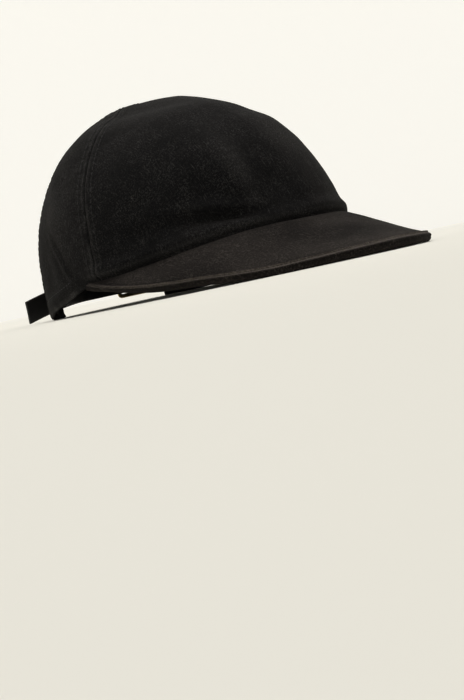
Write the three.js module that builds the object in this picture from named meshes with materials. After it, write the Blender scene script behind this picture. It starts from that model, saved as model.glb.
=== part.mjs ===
// A five-panel cap of black denim with a curved peak and a leather strap across the back.
// Millimetres, +Z up. The front faces -Y and the wearer's right is at -X. The cap rests on z = 0,
// on the back of its lower edge and on both sides of the peak.

import * as THREE from 'three';
import { ParametricGeometry } from 'three/addons/geometries/ParametricGeometry.js';
import { mergeGeometries, mergeVertices } from 'three/addons/utils/BufferGeometryUtils.js';

// Crown: an opening 200 by 158 mm, about 55 cm round, under a dome whose top lies behind the middle.
const HALF_LENGTH = 100;
const HALF_WIDTH = 79;
const OPENING_POWER = 1.76;
const CROWN_HEIGHT = 106;
const TOP_BACK = 16;
const SIDE_POWER = 2.27;
const ROUND_POWER = 1.87;
const CLOTH = 1.5;
const SIDE_DIP = 1.8;
const FLAT_FROM = 135;
const EDGE_SQUARE = 4;

// Seams between the panels, in degrees from the front towards the wearer's right.
const FRONT_SEAM = 75;
const REAR_SEAM = 127;
const SEAM_GAP = 0.3;
const TIP_RISE = 88.4;
const PANEL_PUFF = 0.7;

// Steps of the crown's faces.
const PANEL_ROWS = 19;
const FRONT_COLUMNS = 26;
const SIDE_COLUMNS = 9;
const REAR_COLUMNS = 4;
const ARCH_COLUMNS = 7;

// Notch in the back, which the strap bridges.
const NOTCH_HALF = 36;
const NOTCH_HEIGHT = 44;

// Peak: a board between two cloths, sloped forward, bent over its middle and dished before its edge.
const PEAK_CORNER = 80;
const PEAK_RISE = 25.19;
const PEAK_SLOPE = 0.33;
const PEAK_REACH = 55;
const PEAK_HALF = 80;
const PEAK_POWER = 2.12;
const PEAK_THICK = 4.7;
const PEAK_CORNER_THICK = 2.4;
const PEAK_EDGE_ROUND = 0.26;
const PEAK_LEAN_RUN = 10;
const BEND_REAR = { back: -30, radius: 84 };
const BEND_FRONT = { back: -156, radius: 135 };
const PEAK_DISH = { deep: 2.4, from: 85, to: 130 };

// Sweatband inside the lower edge. It ends short of the strap's and the tab's sewn ends.
const BAND_ROWS = 5;
const BAND_LIFT = 0.6;
const BAND_THICK = 1.2;
const BAND_CLEAR = 0.8;
const GAP = 0.3;

// Strap, its buckle and the buckle's tab.
const STRAP_WIDE = 13;
const STRAP_THICK = 1.8;
const STRAP_LOW = 6.5;
const STRAP_SEWN = 11;
const STRAP_INSIDE = -3.3;
const TURN_RADIUS = 2.7;
const TAIL_LEAVES = -6;
const TAIL_FREE = 46;
const TAIL_CLEAR = 0.4;
const BUCKLE_ACROSS = 22;
const BUCKLE_LONG = 20;
const BUCKLE_TALL = 18.6;
const BUCKLE_BAR = 2.2;
const BUCKLE_THICK = 2.2;

// Soft folds of the crown. angle and rise place the middle in degrees round from the front and up from
// the lower edge, long and wide are half sizes in degrees, turn lifts the long way towards the wearer's
// right, and out is the height in millimetres, below zero for a dent.
const FOLDS = [
  { fold: 'crease over the peak', angle: 31, rise: 7, long: 15, wide: 2.6, turn: 10, out: -2.4 },
  { fold: 'roll under the crease', angle: 26, rise: 4.4, long: 22, wide: 1.6, turn: 6, out: 0.9 },
  { fold: 'ridge up the forehead', angle: 20.5, rise: 19, long: 15, wide: 4.5, turn: 84, out: 1.4 },
  { fold: 'hollow by the middle', angle: 8, rise: 12.5, long: 8, wide: 6, turn: 0, out: -1.8 },
  { fold: 'hollow by the ridge', angle: 30, rise: 14, long: 7, wide: 5, turn: 40, out: -1.3 },
  { fold: 'front shoulder', angle: -18, rise: 31, long: 26, wide: 9, turn: 0, out: 1.2 },
  { fold: 'dip before the top', angle: 46, rise: 65, long: 22, wide: 7, turn: 0, out: -1.8 },
  { fold: 'slack by the corner', angle: 96, rise: 20, long: 17, wide: 6, turn: 62, out: 1.1 },
  { fold: 'hollow behind the corner', angle: 108, rise: 10, long: 10, wide: 6, turn: 60, out: -1.4 },
];
const TOP_DIMPLE = { wide: 11, out: -2.2 };

const CLOTH_FINISH = { color: 0x1c1b1a, roughness: 0.95, metalness: 0 };
const BAND_FINISH = { color: 0x151515, roughness: 0.9, metalness: 0 };
const LEATHER_FINISH = { color: 0x111111, roughness: 0.55, metalness: 0 };
const METAL_FINISH = { color: 0x3a3428, roughness: 0.4, metalness: 1 };

const { degToRad, radToDeg, lerp, smoothstep, clamp } = THREE.MathUtils;
const UP = new THREE.Vector3(0, 0, 1);

function signedPower(value, power) {
  return Math.sign(value) * Math.abs(value) ** power;
}

// Outline of the crown's opening, seen from above.
function opening(angle) {
  const power = 2 / OPENING_POWER;
  return {
    x: -HALF_WIDTH * signedPower(Math.sin(degToRad(angle)), power),
    y: -HALF_LENGTH * signedPower(Math.cos(degToRad(angle)), power),
  };
}

// Top face of the peak's board: a slope that is bent about the line x = 0, less at its front edge.
function peakTop(x, y) {
  const along = (y - BEND_REAR.back) / (BEND_FRONT.back - BEND_REAR.back);
  const curve = lerp(1 / BEND_REAR.radius, 1 / BEND_FRONT.radius, along);
  const dish = PEAK_DISH.deep * smoothstep(-y, PEAK_DISH.from, PEAK_DISH.to);
  return PEAK_RISE + PEAK_SLOPE * (y + HALF_LENGTH) - (x * x * curve) / 2 - dish;
}

// Thickness of the peak, from its middle at turn 0 to its corners at 1.
function peakThick(turn) {
  return lerp(PEAK_THICK, PEAK_CORNER_THICK, smoothstep(Math.abs(turn), 0.75, 1));
}

// Height of the crown's lower edge: the peak's under face in front, and a curve down to the flat back.
function lowerEdge(angle) {
  const turn = Math.abs(((angle + 540) % 360) - 180);
  const at = opening(Math.min(turn, PEAK_CORNER));
  const front = peakTop(at.x, at.y) - peakThick(turn / PEAK_CORNER);
  const behind = clamp((turn - PEAK_CORNER) / (FLAT_FROM - PEAK_CORNER), 0, 1);
  return front * (1 - behind) ** 2 + SIDE_DIP * Math.sin(Math.PI * behind);
}

// How far the folds, the fullness of the panels and the dimple lift the cloth at one place.
function relief(angle, rise) {
  const turn = ((angle + 540) % 360) - 180;
  let out = TOP_DIMPLE.out * Math.exp(-(((90 - rise) / TOP_DIMPLE.wide) ** 2));
  for (const fold of FOLDS) {
    const c = Math.cos(degToRad(fold.turn));
    const s = Math.sin(degToRad(fold.turn));
    const round = (turn - fold.angle) * Math.cos(degToRad(fold.rise));
    const up = rise - fold.rise;
    const along = (round * c + up * s) / fold.long;
    const across = (up * c - round * s) / fold.wide;
    out += fold.out * Math.exp(-(along ** 2) - across ** 2);
  }
  const seams = [-180, -REAR_SEAM, -FRONT_SEAM, FRONT_SEAM, REAR_SEAM, 180];
  const nearest = Math.min(...seams.map((seam) => Math.abs(turn - seam)));
  const full = Math.sin(Math.min(nearest / 27, 1) * Math.PI * 0.5);
  out += PANEL_PUFF * full * Math.sin(degToRad(rise * 2)) ** 2;
  return out * smoothstep(rise, 2, 4.5);
}

// Plain dome, without folds. rise runs from 0 at the lower edge to 90 at the top.
function dome(angle, rise) {
  const up = Math.sin(degToRad(rise)) ** (2 / SIDE_POWER);
  const inward = Math.cos(degToRad(rise)) ** (2 / ROUND_POWER);
  const edge = opening(angle);
  return new THREE.Vector3(
    edge.x * inward,
    edge.y * inward + TOP_BACK * up,
    lerp(lowerEdge(angle), CROWN_HEIGHT, up),
  );
}

// A point of the crown, moved out of its outer face by offset. Near the lower edge the way out is level,
// so that the edge is flat underneath.
function crownPoint(angle, rise, offset) {
  const step = 0.05;
  const low = Math.max(rise - step, 0);
  const upward = dome(angle, rise + step).sub(dome(angle, low));
  const round = dome(angle + step, rise).sub(dome(angle - step, rise));
  const outward = upward.cross(round).normalize();
  outward.z *= smoothstep(rise, 0, EDGE_SQUARE);
  outward.normalize();
  return dome(angle, rise).addScaledVector(outward, offset + relief(angle, rise));
}

// The rise at which the dome reaches a height.
function riseAt(angle, z) {
  const base = lowerEdge(angle);
  const up = clamp((z - base) / (CROWN_HEIGHT - base), 0, 1);
  return radToDeg(Math.asin(up ** (SIDE_POWER / 2)));
}

function grid(across, up, point) {
  const fill = (u, v, target) => target.copy(point(Math.round(v * across), Math.round(u * up)));
  return new ParametricGeometry(fill, up, across);
}

// Joins open faces with common edges into one closed body.
function closed(faces) {
  for (const face of faces) {
    face.deleteAttribute('normal');
    face.deleteAttribute('uv');
  }
  const body = mergeVertices(mergeGeometries(faces), 1e-4);
  body.computeVertexNormals();
  return body;
}

// A wall between an outer and an inner face: a sleeve round its section, and a cover on each end.
function wall(across, up, outer, inner) {
  const round = 2 * up + 2;
  const section = (i, k) => (k % round <= up ? outer(i, k % round) : inner(i, round - 1 - (k % round)));
  const cover = (i, first, second) => grid(up, 1, (j, side) => (side ? second(i, j) : first(i, j)));
  return closed([
    grid(across, round, section),
    cover(0, outer, inner),
    cover(across, inner, outer),
  ]);
}

function mesh(name, geometry, finish) {
  const piece = new THREE.Mesh(geometry, new THREE.MeshStandardMaterial(finish));
  piece.name = name;
  return piece;
}

function evenColumns(count) {
  return Array.from({ length: count + 1 }, (_, i) => i / count);
}

// Rows of the crown, closer together near the lower edge where the small folds are.
function rowRise(low, k) {
  return lerp(low, TIP_RISE, (k / PANEL_ROWS) ** 1.35);
}

// Crown panel between two angles. Its side edges stand back from the seams by half the gap.
function panel(from, to, columns, bottom = () => 0) {
  const inset = (rise) => {
    const radius = HALF_WIDTH * Math.cos(degToRad(rise)) ** (2 / ROUND_POWER);
    return radToDeg(SEAM_GAP / 2 / radius);
  };
  const angleAt = (i, rise) => {
    const away = inset(rise);
    return lerp(from + away, to - away, columns[i]);
  };
  const riseOf = (i, k) => rowRise(bottom(lerp(from, to, columns[i])), k);
  const face = (offset) => (i, k) => crownPoint(angleAt(i, riseOf(i, k)), riseOf(i, k), offset);
  return wall(columns.length - 1, PANEL_ROWS, face(0), face(-CLOTH));
}

// Angle on the back of the crown at a distance x from the middle.
function backAngle(x) {
  const sine = (Math.abs(x) / HALF_WIDTH) ** (OPENING_POWER / 2);
  return 180 + Math.sign(x) * radToDeg(Math.asin(sine));
}

// Columns of a rear panel: even up to the notch, then closer where the notch's arch is steep.
function rearColumns() {
  const span = 180 - REAR_SEAM;
  const notch = (backAngle(-NOTCH_HALF) - REAR_SEAM) / span;
  const plain = evenColumns(REAR_COLUMNS).slice(0, -1).map((step) => notch * step);
  const arched = evenColumns(ARCH_COLUMNS).map((step) => {
    return (backAngle(-NOTCH_HALF * Math.cos(step * Math.PI * 0.5)) - REAR_SEAM) / span;
  });
  return [...plain, ...arched];
}

// Rise of the notch's arched edge.
function notchRise(angle) {
  const x = opening(angle).x / NOTCH_HALF;
  const high = NOTCH_HEIGHT * Math.sqrt(Math.max(0, 1 - x * x));
  return Math.cos(degToRad(angle)) < 0 ? riseAt(180, high) : 0;
}

function crownPanels() {
  const side = evenColumns(SIDE_COLUMNS);
  const rear = rearColumns();
  const mirrored = rear.map((column) => 1 - column).reverse();
  return [
    mesh('front_panel', panel(-FRONT_SEAM, FRONT_SEAM, evenColumns(FRONT_COLUMNS)), CLOTH_FINISH),
    mesh('side_panel_right', panel(FRONT_SEAM, REAR_SEAM, side), CLOTH_FINISH),
    mesh('side_panel_left', panel(-REAR_SEAM, -FRONT_SEAM, side), CLOTH_FINISH),
    mesh('rear_panel_right', panel(REAR_SEAM, 180, rear, notchRise), CLOTH_FINISH),
    mesh('rear_panel_left', panel(180, 360 - REAR_SEAM, mirrored, notchRise), CLOTH_FINISH),
  ];
}

// Peak: from the crown's outer face to its outline, with a rounded edge and ends that taper to the seam.
function peak() {
  const across = 36;
  const runs = [0, 0.3, 0.6, 0.84, 0.965, 1];
  const corner = opening(PEAK_CORNER);
  const place = (i, k) => {
    const turn = 1 - (2 * i) / across;
    const inner = crownPoint(turn * PEAK_CORNER, 0, GAP);
    const swing = (turn * Math.PI) / 2;
    const power = 2 / PEAK_POWER;
    const x = -PEAK_HALF * signedPower(Math.sin(swing), power);
    const y = lerp(corner.y, -HALF_LENGTH - PEAK_REACH, Math.abs(Math.cos(swing)) ** power);
    const run = runs[k];
    const at = new THREE.Vector3(lerp(inner.x, x, run), lerp(inner.y, y, run), 0);
    at.z = peakTop(at.x, at.y);
    const clear = Math.hypot(at.x - inner.x, at.y - inner.y);
    const square = new THREE.Vector3(at.x / BEND_REAR.radius, -PEAK_SLOPE, 1).normalize();
    const down = UP.clone().lerp(square, smoothstep(clear, 0, PEAK_LEAN_RUN)).normalize().negate();
    const thick = peakThick(turn);
    return { at, down, thick, round: k === runs.length - 1 ? thick * PEAK_EDGE_ROUND : 0 };
  };
  const top = (i, k) => {
    const { at, down, round } = place(i, k);
    return at.addScaledVector(down, round);
  };
  const under = (i, k) => {
    const { at, down, thick, round } = place(i, k);
    return at.addScaledVector(down, thick - round);
  };
  return mesh('peak', wall(across, runs.length - 1, top, under), CLOTH_FINISH);
}

// The sweatband follows the inside of the panels, column by column.
function sweatband() {
  const half = [
    ...evenColumns(FRONT_COLUMNS / 2).map((step) => step * FRONT_SEAM),
    ...evenColumns(SIDE_COLUMNS).slice(1).map((step) => lerp(FRONT_SEAM, REAR_SEAM, step)),
    ...rearColumns().slice(1, REAR_COLUMNS / 2 + 1).map((step) => lerp(REAR_SEAM, 180, step)),
  ];
  const angles = [...half.slice(1).map((angle) => -angle).reverse(), ...half];
  const face = (offset) => (i, k) => {
    return crownPoint(angles[i], k ? rowRise(0, k) : BAND_LIFT, offset);
  };
  const outer = -CLOTH - BAND_CLEAR;
  return mesh(
    'sweatband',
    wall(angles.length - 1, BAND_ROWS, face(outer), face(outer - BAND_THICK)),
    BAND_FINISH,
  );
}

// A point on the back of the crown at half the strap's height, x across, moved out by offset.
function onBack(x, offset) {
  const angle = backAngle(x);
  const at = crownPoint(angle, riseAt(angle, STRAP_LOW + STRAP_WIDE / 2), offset);
  return new THREE.Vector2(at.x, at.y);
}

// Where the buckle sits: its middle, the way along the strap, and the way out from the head.
function buckleSeat() {
  const middle = onBack(BUCKLE_ACROSS, STRAP_INSIDE + TURN_RADIUS);
  const along = onBack(BUCKLE_ACROSS + 1, 0).sub(onBack(BUCKLE_ACROSS - 1, 0)).normalize();
  const outward = new THREE.Vector2(-along.y, along.x);
  return { middle, along, outward };
}

// Half turn round one end bar of the buckle, from the inside to the outside.
function halfTurn(end) {
  const { middle, along, outward } = buckleSeat();
  const reach = (BUCKLE_LONG - BUCKLE_BAR) / 2;
  return evenColumns(8).map((step) => {
    const swing = step * Math.PI;
    return middle.clone()
      .addScaledVector(along, end * (reach - TURN_RADIUS * Math.sin(swing)))
      .addScaledVector(outward, -TURN_RADIUS * Math.cos(swing));
  });
}

// A flat leather ribbon on edge that follows points seen from above. low gives its lower edge.
function ribbon(points, low) {
  const face = (side) => (i, k) => {
    const before = points[Math.max(i - 1, 0)];
    const after = points[Math.min(i + 1, points.length - 1)];
    const along = after.clone().sub(before).normalize();
    const out = (side * STRAP_THICK) / 2;
    const at = points[i];
    return new THREE.Vector3(at.x - along.y * out, at.y + along.x * out, low(i) + k * STRAP_WIDE);
  };
  return wall(points.length - 1, 1, face(1), face(-1));
}

function strap() {
  const inside = evenColumns(12).map((step) => {
    return onBack(lerp(-NOTCH_HALF - STRAP_SEWN, BUCKLE_ACROSS - 12.5, step), STRAP_INSIDE);
  });
  const turn = halfTurn(-1);
  const outside = evenColumns(3).map((step) => {
    return onBack(lerp(BUCKLE_ACROSS - 12.5, TAIL_LEAVES, step), STRAP_INSIDE + 2 * TURN_RADIUS);
  });
  const leave = outside[outside.length - 1];
  const way = leave.clone().sub(outside[outside.length - 2]).normalize();
  const tail = evenColumns(10).slice(1).map((step) => leave.clone().addScaledVector(way, step * TAIL_FREE));
  const points = [...inside, ...turn, ...outside, ...tail];
  const fixed = points.length - tail.length - 1;
  const low = (i) => {
    const droop = 1 - Math.cos((Math.max(i - fixed, 0) / tail.length) * Math.PI * 0.5);
    return lerp(STRAP_LOW, TAIL_CLEAR, droop);
  };
  return mesh('strap', ribbon(points, low), LEATHER_FINISH);
}

function buckleTab() {
  const leaf = (offset) => evenColumns(4).map((step) => {
    return onBack(lerp(NOTCH_HALF + STRAP_SEWN, BUCKLE_ACROSS + 12.5, step), offset);
  });
  const outside = leaf(STRAP_INSIDE + 2 * TURN_RADIUS).reverse();
  const points = [...leaf(STRAP_INSIDE), ...halfTurn(1), ...outside];
  return mesh('buckle_tab', ribbon(points, () => STRAP_LOW), LEATHER_FINISH);
}

function roundedBox(path, left, bottom, right, top, radius) {
  path.moveTo(left + radius, bottom);
  path.lineTo(right - radius, bottom);
  path.quadraticCurveTo(right, bottom, right, bottom + radius);
  path.lineTo(right, top - radius);
  path.quadraticCurveTo(right, top, right - radius, top);
  path.lineTo(left + radius, top);
  path.quadraticCurveTo(left, top, left, top - radius);
  path.lineTo(left, bottom + radius);
  path.quadraticCurveTo(left, bottom, left + radius, bottom);
  return path;
}

// Slide buckle: a rounded frame with a middle bar, so that it has two windows.
function buckle() {
  const right = BUCKLE_LONG / 2;
  const top = BUCKLE_TALL / 2;
  const rail = (BUCKLE_TALL - STRAP_WIDE - 0.8) / 2;
  const frame = roundedBox(new THREE.Shape(), -right, -top, right, top, 2.4);
  for (const side of [-1, 1]) {
    const near = BUCKLE_BAR / 2;
    const far = right - BUCKLE_BAR;
    const left = side > 0 ? near : -far;
    frame.holes.push(roundedBox(new THREE.Path(), left, rail - top, left + far - near, top - rail, 0.5));
  }
  const geometry = new THREE.ExtrudeGeometry(frame, { depth: BUCKLE_THICK, bevelEnabled: false, curveSegments: 3 });
  geometry.translate(0, 0, -BUCKLE_THICK / 2);
  const { middle, along } = buckleSeat();
  const piece = mesh('buckle', geometry, METAL_FINISH);
  const length = new THREE.Vector3(along.x, along.y, 0);
  const facing = new THREE.Matrix4().makeBasis(length, UP, length.clone().cross(UP));
  piece.quaternion.setFromRotationMatrix(facing);
  piece.position.set(middle.x, middle.y, STRAP_LOW + STRAP_WIDE / 2);
  return piece;
}

const cap = new THREE.Group();
cap.add(...crownPanels(), peak(), sweatband(), strap(), buckle(), buckleTab());

// The origin goes under the middle of the cap, on the plane that it rests on.
cap.updateMatrixWorld(true);
const box = new THREE.Box3().setFromObject(cap, true);
cap.position.set(-(box.min.x + box.max.x) / 2, -(box.min.y + box.max.y) / 2, -box.min.z);

export default cap;
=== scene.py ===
import math
from functools import lru_cache

import bmesh
import bpy
from mathutils import Matrix, Vector, noise


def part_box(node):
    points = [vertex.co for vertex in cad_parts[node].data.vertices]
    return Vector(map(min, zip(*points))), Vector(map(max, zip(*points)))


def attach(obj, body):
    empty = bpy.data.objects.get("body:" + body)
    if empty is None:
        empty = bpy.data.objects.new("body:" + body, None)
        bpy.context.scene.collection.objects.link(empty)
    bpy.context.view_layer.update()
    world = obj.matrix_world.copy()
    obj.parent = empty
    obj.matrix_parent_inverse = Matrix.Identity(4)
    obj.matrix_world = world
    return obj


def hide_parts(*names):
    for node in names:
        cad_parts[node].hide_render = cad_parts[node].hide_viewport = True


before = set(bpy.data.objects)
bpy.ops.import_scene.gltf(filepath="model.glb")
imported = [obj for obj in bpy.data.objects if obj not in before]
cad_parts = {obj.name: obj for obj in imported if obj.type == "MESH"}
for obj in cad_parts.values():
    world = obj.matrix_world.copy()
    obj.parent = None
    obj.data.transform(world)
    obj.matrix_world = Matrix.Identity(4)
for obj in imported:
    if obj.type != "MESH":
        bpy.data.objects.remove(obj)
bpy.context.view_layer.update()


# The crown is five leaves of black denim twill, sewn edge to edge and up to one point at the top. The
# seam allowances are pressed open and stitched down, so that each seam is a groove between two low,
# worn ridges. The lower edge is turned in, and rolls over the peak's seam in front.
HALF_LENGTH = 0.100
HALF_WIDTH = 0.079
OPENING_POWER = 1.76
CROWN_HEIGHT = 0.106
TOP_BACK = 0.016
SIDE_POWER = 2.27
ROUND_POWER = 1.87
CLOTH = 0.0015
SIDE_DIP = 0.0018
FLAT_FROM = 135
EDGE_SQUARE = 4
MIDDLE_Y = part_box("front_panel")[0].y + HALF_LENGTH

FRONT_SEAM = 75
REAR_SEAM = 127
SEAMS = (-180, -REAR_SEAM, -FRONT_SEAM, FRONT_SEAM, REAR_SEAM, 180)
PANEL_PUFF = 0.0007
PUFF_REACH = 27
RELIEF_FROM = 2
RELIEF_FULL = 4.5
DIMPLE_WIDE = 11
DIMPLE_OUT = -0.0022
NOTCH_HALF = 0.036
NOTCH_HEIGHT = 0.044

PEAK_CORNER = 80
PEAK_RISE = 0.02519
PEAK_SLOPE = 0.33
PEAK_THICK = 0.0047
PEAK_CORNER_THICK = 0.0024
PEAK_THINS_FROM = 0.75
BEND_REAR = {"back": -0.030, "radius": 0.084}
BEND_FRONT = {"back": -0.156, "radius": 0.135}
PEAK_DISH = {"deep": 0.0024, "from": 0.085, "to": 0.130}

# Folds: name, degrees round from the front, degrees up, half length, half width, lean, height. The
# creases are finer ones of the same kind.
FOLDS = (
    ("crease over the peak", 31, 7, 15, 2.6, 10, -0.0024),
    ("roll under the crease", 26, 4.4, 22, 1.6, 6, 0.0009),
    ("ridge up the forehead", 20.5, 19, 15, 4.5, 84, 0.0014),
    ("hollow by the middle", 8, 12.5, 8, 6, 0, -0.0018),
    ("hollow by the ridge", 30, 14, 7, 5, 40, -0.0013),
    ("front shoulder", -18, 31, 26, 9, 0, 0.0012),
    ("dip before the top", 46, 65, 22, 7, 0, -0.0018),
    ("slack by the corner", 96, 20, 17, 6, 62, 0.0011),
    ("hollow behind the corner", 108, 10, 10, 6, 60, -0.0014),
)
CREASES = (
    ("sharp crease over the peak", 33, 7.4, 11, 1.0, 12, -0.0018),
    ("cloth hanging over the crease", 32, 10.2, 12, 2.0, 12, 0.0013),
    ("tail of the crease", 52, 9.5, 12, 2.2, 4, -0.0010),
    ("flat of the forehead", 6, 24, 26, 8, 84, -0.0007),
    ("corner of the shoulder", -22, 41, 20, 5, 4, 0.0012),
    ("dent before the top", 58, 68, 16, 4.5, 10, -0.0012),
    ("first crease to the corner", 92, 10.5, 12, 1.7, 51, -0.0009),
    ("second crease to the corner", 97, 9.5, 12, 1.5, 51, -0.0007),
    ("ridge over the ear", 100, 32, 18, 3.2, 47, 0.0008),
    ("slack of the left corner", -95, 16, 15, 3.5, -55, 0.0008),
    ("crease at the left corner", -90, 9, 10, 1.8, -50, -0.0008),
    ("soft fold at the back", 152, 40, 14, 4, 75, 0.0008),
    ("soft fold at the left back", -148, 36, 16, 4, -70, 0.0007),
)


def mix(first, second, share):
    return first + (second - first) * share


def smooth(value, low, high):
    share = min(max((value - low) / (high - low), 0.0), 1.0)
    return share * share * (3.0 - 2.0 * share)


def hump(value, wide):
    return math.exp(-((value / wide) ** 2))


def signed_power(value, power):
    return math.copysign(abs(value) ** power, value)


def wrapped(turn):
    """The same turn, between -180 and 180 degrees."""
    return (turn + 540) % 360 - 180


@lru_cache(maxsize=4096)
def opening(turn):
    """Outline of the opening, from above. Everything here is measured from the crown's middle."""
    power = 2 / OPENING_POWER
    angle = math.radians(turn)
    x = -HALF_WIDTH * signed_power(math.sin(angle), power)
    return x, -HALF_LENGTH * signed_power(math.cos(angle), power)


def peak_top(x, y):
    """Height of the peak's upper skin, which slopes forward, arches across and dips a little in front."""
    along = (y - BEND_REAR["back"]) / (BEND_FRONT["back"] - BEND_REAR["back"])
    curve = mix(1 / BEND_REAR["radius"], 1 / BEND_FRONT["radius"], along)
    dish = PEAK_DISH["deep"] * smooth(-y, PEAK_DISH["from"], PEAK_DISH["to"])
    return PEAK_RISE + PEAK_SLOPE * (y + HALF_LENGTH) - x * x * curve / 2 - dish


def peak_thick(part):
    """Thickness of the peak, part running from -1 to 1 between its corners."""
    return mix(PEAK_THICK, PEAK_CORNER_THICK, smooth(abs(part), PEAK_THINS_FROM, 1))


@lru_cache(maxsize=4096)
def lower_edge(turn):
    """Height of the crown's lower edge: under the peak in front, and down to the floor behind it."""
    turn = abs(wrapped(turn))
    front = peak_top(*opening(min(turn, PEAK_CORNER))) - peak_thick(turn / PEAK_CORNER)
    behind = min(max((turn - PEAK_CORNER) / (FLAT_FROM - PEAK_CORNER), 0), 1)
    return front * (1 - behind) ** 2 + SIDE_DIP * math.sin(math.pi * behind)


def fold_height(folds, turn, rise):
    """How far the folds of a list stand out at one place of the crown."""
    out = 0.0
    for _, at, up, long, wide, lean, height in folds:
        c, s = math.cos(math.radians(lean)), math.sin(math.radians(lean))
        across, over = (turn - at) * math.cos(math.radians(up)), rise - up
        out += height * hump(across * c + over * s, long) * hump(over * c - across * s, wide)
    return out


def relief(turn, rise):
    """The crown's form over its plain dome: dimple at the top, fullness of the panels, main folds."""
    turn = wrapped(turn)
    out = DIMPLE_OUT * hump(90 - rise, DIMPLE_WIDE) + fold_height(FOLDS, turn, rise)
    nearest = min(abs(turn - seam) for seam in SEAMS)
    full = math.sin(min(nearest / PUFF_REACH, 1) * math.pi / 2)
    out += PANEL_PUFF * full * math.sin(math.radians(rise * 2)) ** 2
    return out * smooth(rise, RELIEF_FROM, RELIEF_FULL)


def dome(turn, rise):
    """The plain dome, by degrees round from the front toward the wearer's right and degrees up."""
    up = max(math.sin(math.radians(rise)), 0.0) ** (2 / SIDE_POWER)
    inward = max(math.cos(math.radians(rise)), 0.0) ** (2 / ROUND_POWER)
    x, y = opening(turn)
    z = mix(lower_edge(turn), CROWN_HEIGHT, up)
    return Vector((x * inward, MIDDLE_Y + y * inward + TOP_BACK * up, z))


def dome_skin(turn, rise):
    """A point of the plain dome, the way out of it, and the metres that one degree of turn spans.

    The way out is level at the lower edge, so that the wall stands square there."""
    step = 0.05
    upward = dome(turn, rise + step) - dome(turn, max(rise - step, 0.0))
    around = dome(turn + step, rise) - dome(turn - step, rise)
    out = upward.cross(around).normalized()
    out.z *= smooth(rise, 0, EDGE_SQUARE)
    return dome(turn, rise), out.normalized(), around.length / (2 * step)


def crown_point(turn, rise, lift):
    """A point of the crown's outside, or so many metres out from it."""
    at, out, _ = dome_skin(turn, rise)
    return at + out * (lift + relief(turn, rise))


def rise_at(turn, z):
    """The rise at which the dome reaches a height."""
    base = lower_edge(turn)
    up = min(max((z - base) / (CROWN_HEIGHT - base), 0), 1)
    return math.degrees(math.asin(up ** (SIDE_POWER / 2)))


def back_turn(x):
    """The turn on the back of the opening at a distance x from the middle."""
    sine = (abs(x) / HALF_WIDTH) ** (OPENING_POWER / 2)
    return 180 + math.copysign(math.degrees(math.asin(sine)), x)


def notch_rise(turn):
    """The rise at which the cloth starts: the notch's arch at the back, and 0 beside it."""
    x = opening(turn)[0] / NOTCH_HALF
    if math.cos(math.radians(turn)) > 0 or abs(x) >= 1:
        return 0.0
    return rise_at(180, NOTCH_HEIGHT * math.sqrt(1 - x * x))


# Sewing, wear and painted light. A scale says how fine a noise is, and "much" is how far the wear goes
# toward grey. The top's grey is partly wear and partly a painted highlight; the back is painted shade.
STITCH_LINE = 0.0045
HEM_LINE = 0.0060
METRES_PER_RISE = 0.0019
BUMPS = {"high": 0.00055, "scale": 42}
FINE_BUMPS = {"high": 0.00014, "scale": 160}
SEAM_GROOVE = {"deep": 0.0005, "wide": 0.0006}
ALLOWANCE = {"high": 0.0003, "rises": 0.0012, "falls": 0.0016}
STITCH_GROOVE = {"deep": 0.00022, "wide": 0.0005}
PUCKER = {"high": 0.00014, "wide": 0.0035, "waves": 1500, "drift": 2.5, "scale": 90}
ROLL = {"high": 0.0018, "up": 0.0038, "wide": 0.0034}
TUCK = {"deep": 0.0014, "wide": 0.0010}
TURNED_EDGE = {"deep": 0.0006, "wide": 0.0007}
HEM = {"high": 0.0003, "blend": 0.0008, "groove": 0.0002, "groove_wide": 0.0006}
SEAM_WEAR = {"much": 0.40, "beside": 0.0014, "wide": 0.0009}
STITCH_WEAR = {"much": 0.15, "wide": 0.0008}
FOLD_WEAR = 200
# The top of the crown goes paler: partly wear, partly a painted highlight from the light above.
TOP_WEAR_AND_HIGHLIGHT = {"much": 0.27, "from": 48, "to": 66}
PATCH_WEAR = {"much": 0.15, "scale": 28}
# Painted shade: the back of the crown is kept darker.
BACK_PAINTED_SHADE = {"less": 0.08, "from": 84, "to": 112}
ROLL_WEAR = {"much": 0.25, "up": 0.0022, "wide": 0.0012}
HEM_WEAR = {"much": 0.85, "up": 0.0004, "wide": 0.0011}
ROLL_FADES_FROM = PEAK_CORNER - 6
ROLL_ENDS = PEAK_CORNER + 4
HEM_FULL_FROM = PEAK_CORNER + 12


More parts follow.
